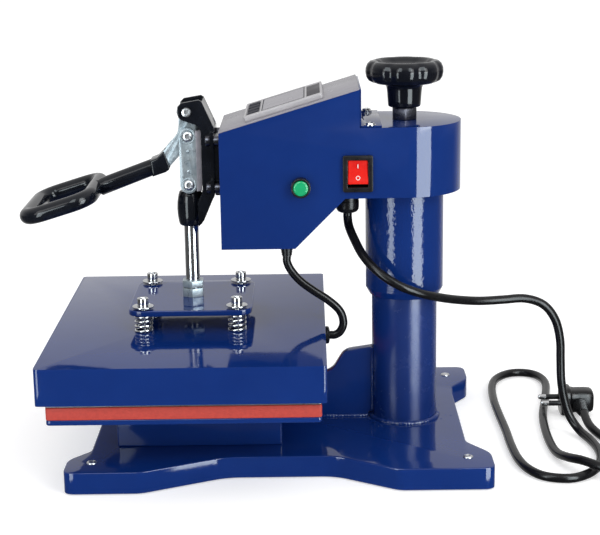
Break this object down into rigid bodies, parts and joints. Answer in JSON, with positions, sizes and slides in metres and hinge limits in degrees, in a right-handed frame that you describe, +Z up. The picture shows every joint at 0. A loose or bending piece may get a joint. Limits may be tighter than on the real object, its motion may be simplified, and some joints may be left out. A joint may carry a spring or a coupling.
{
  "type": "swing-away printing press",
  "caption": "Tabletop swing-away printing press: heated platen with a toggle handle, on an arm that swings and lifts on a column over a padded lower platen.",
  "frame": {"origin": "middle of the press seen from above, without its cord, at the level its feet stand on", "axes": "+Z up, -Y towards the operator, +X to the operator's right"},
  "size_m": [0.3291, 0.5583, 0.3478],
  "materials": {
    "blue_paint": "gloss",
    "rubber": "matt",
    "zinc": "zinc plated",
    "silicone": "matt",
    "brass": "turned",
    "nylon": "matt",
    "panel_grey": "satin",
    "bezel_grey": "satin",
    "dark_window": "gloss",
    "black_plastic": "gloss",
    "chrome": "polished",
    "red_plastic": "gloss",
    "green_plastic": "gloss",
    "black_paint": "gloss",
    "board_green": "matt",
    "aluminium": "machined",
    "element_steel": "dark",
    "insulation": "matt",
    "cord_black": "satin"
  },
  "bodies": {
    "root": {"base_pan": "blue_paint", "rubber_feet": "rubber", "foot_screws": "zinc", "column_tube": "blue_paint", "column_weld": "blue_paint", "column_gusset": "blue_paint", "column_plug": "zinc", "pedestal": "blue_paint", "lower_platen": "blue_paint", "platen_screws": "zinc", "silicone_pad": "silicone", "mains_cord": "cord_black", "plug": "cord_black", "plug_pins": "zinc"},
    "swivel": {"swivel_nut": "brass"},
    "arm": {"column_bushes": "nylon", "column_sleeve": "blue_paint", "arm_housing": "blue_paint", "rear_cover": "blue_paint", "control_panel": "panel_grey", "controller_bezel": "bezel_grey", "display_window": "dark_window", "controller_keys": "black_plastic", "head_nut": "zinc", "cover_screws": "chrome", "switch_bezel": "black_plastic", "button_collar": "black_plastic", "mains_gland": "black_plastic", "heater_gland": "black_plastic", "toggle_bracket": "black_paint", "bracket_bolts": "zinc", "plunger_guide": "black_paint", "upper_pivot_pin": "zinc", "control_board": "board_green", "relay": "black_plastic", "heater_cable": "cord_black"},
    "handwheel": {"handwheel": "black_plastic", "spindle": "zinc"},
    "handle": {"lever_plates": "zinc", "handle_shaft": "black_plastic", "handle_loop": "black_plastic", "elbow_bolts": "zinc"},
    "link": {"toggle_links": "zinc", "link_pin": "zinc", "fork_pin": "zinc"},
    "press_head": {"plunger_rod": "chrome", "plunger_fork": "black_paint", "rod_nuts": "chrome", "mount_plate": "blue_paint"},
    "platen": {"platen_cover": "blue_paint", "heating_platen": "aluminium", "heating_element": "element_steel", "insulation_board": "insulation", "spring_bolts": "chrome", "bolt_washers": "chrome", "springs": "chrome", "cable_grommet": "black_plastic"},
    "rocker": {"switch_rocker": "red_plastic"},
    "button": {"button_cap": "green_plastic"}
  },
  "joints": [
    {"name": "arm_swing", "type": "hinge", "parent": "root", "child": "swivel", "pos_m": [0, 0.1355, 0.2], "axis": [0, 0, -1], "range_deg": [0, 100]},
    {"name": "arm_lift", "type": "slide", "parent": "swivel", "child": "arm", "axis": [0, 0, 1], "range_m": [0, 0.012]},
    {"name": "handwheel_turn", "type": "hinge", "parent": "arm", "child": "handwheel", "pos_m": [0, 0.1355, 0.3068], "axis": [0, 0, 1], "range_deg": [0, 2160]},
    {"name": "press_slide", "type": "slide", "parent": "arm", "child": "press_head", "axis": [0, 0, 1], "range_m": [0, 0.0316], "deforming": ["heater_cable"]},
    {"name": "handle_turn", "type": "hinge", "parent": "arm", "child": "handle", "pos_m": [0, -0.0565, 0.3066], "axis": [-1, 0, 0], "range_deg": [0, 100]},
    {"name": "link_turn", "type": "hinge", "parent": "handle", "child": "link", "pos_m": [0, -0.0565, 0.2846], "axis": [1, 0, 0], "range_deg": [0, 130]},
    {"name": "platen_float", "type": "slide", "parent": "press_head", "child": "platen", "axis": [0, 0, -1], "range_m": [0, 0.0015], "deforming": ["springs"]},
    {"name": "rocker_tip", "type": "hinge", "parent": "arm", "child": "rocker", "pos_m": [0.042, 0.0925, 0.256], "axis": [0, 1, 0], "range_deg": [0, 18]},
    {"name": "button_press", "type": "slide", "parent": "arm", "child": "button", "axis": [-1, 0, 0], "range_m": [0, 0.002], "stiffness_N_per_m": 300}
  ],
  "couplings": [
    {"joint": "handwheel_turn", "follows": "arm_lift", "rad_per_m": 3141.6},
    {"joint": "handle_turn", "follows": "press_slide", "rad_per_m": 55.2},
    {"joint": "link_turn", "follows": "press_slide", "rad_per_m": 71.7},
    {"joint": "platen_float", "follows": "press_slide", "ratio": 0.0474}
  ]
}
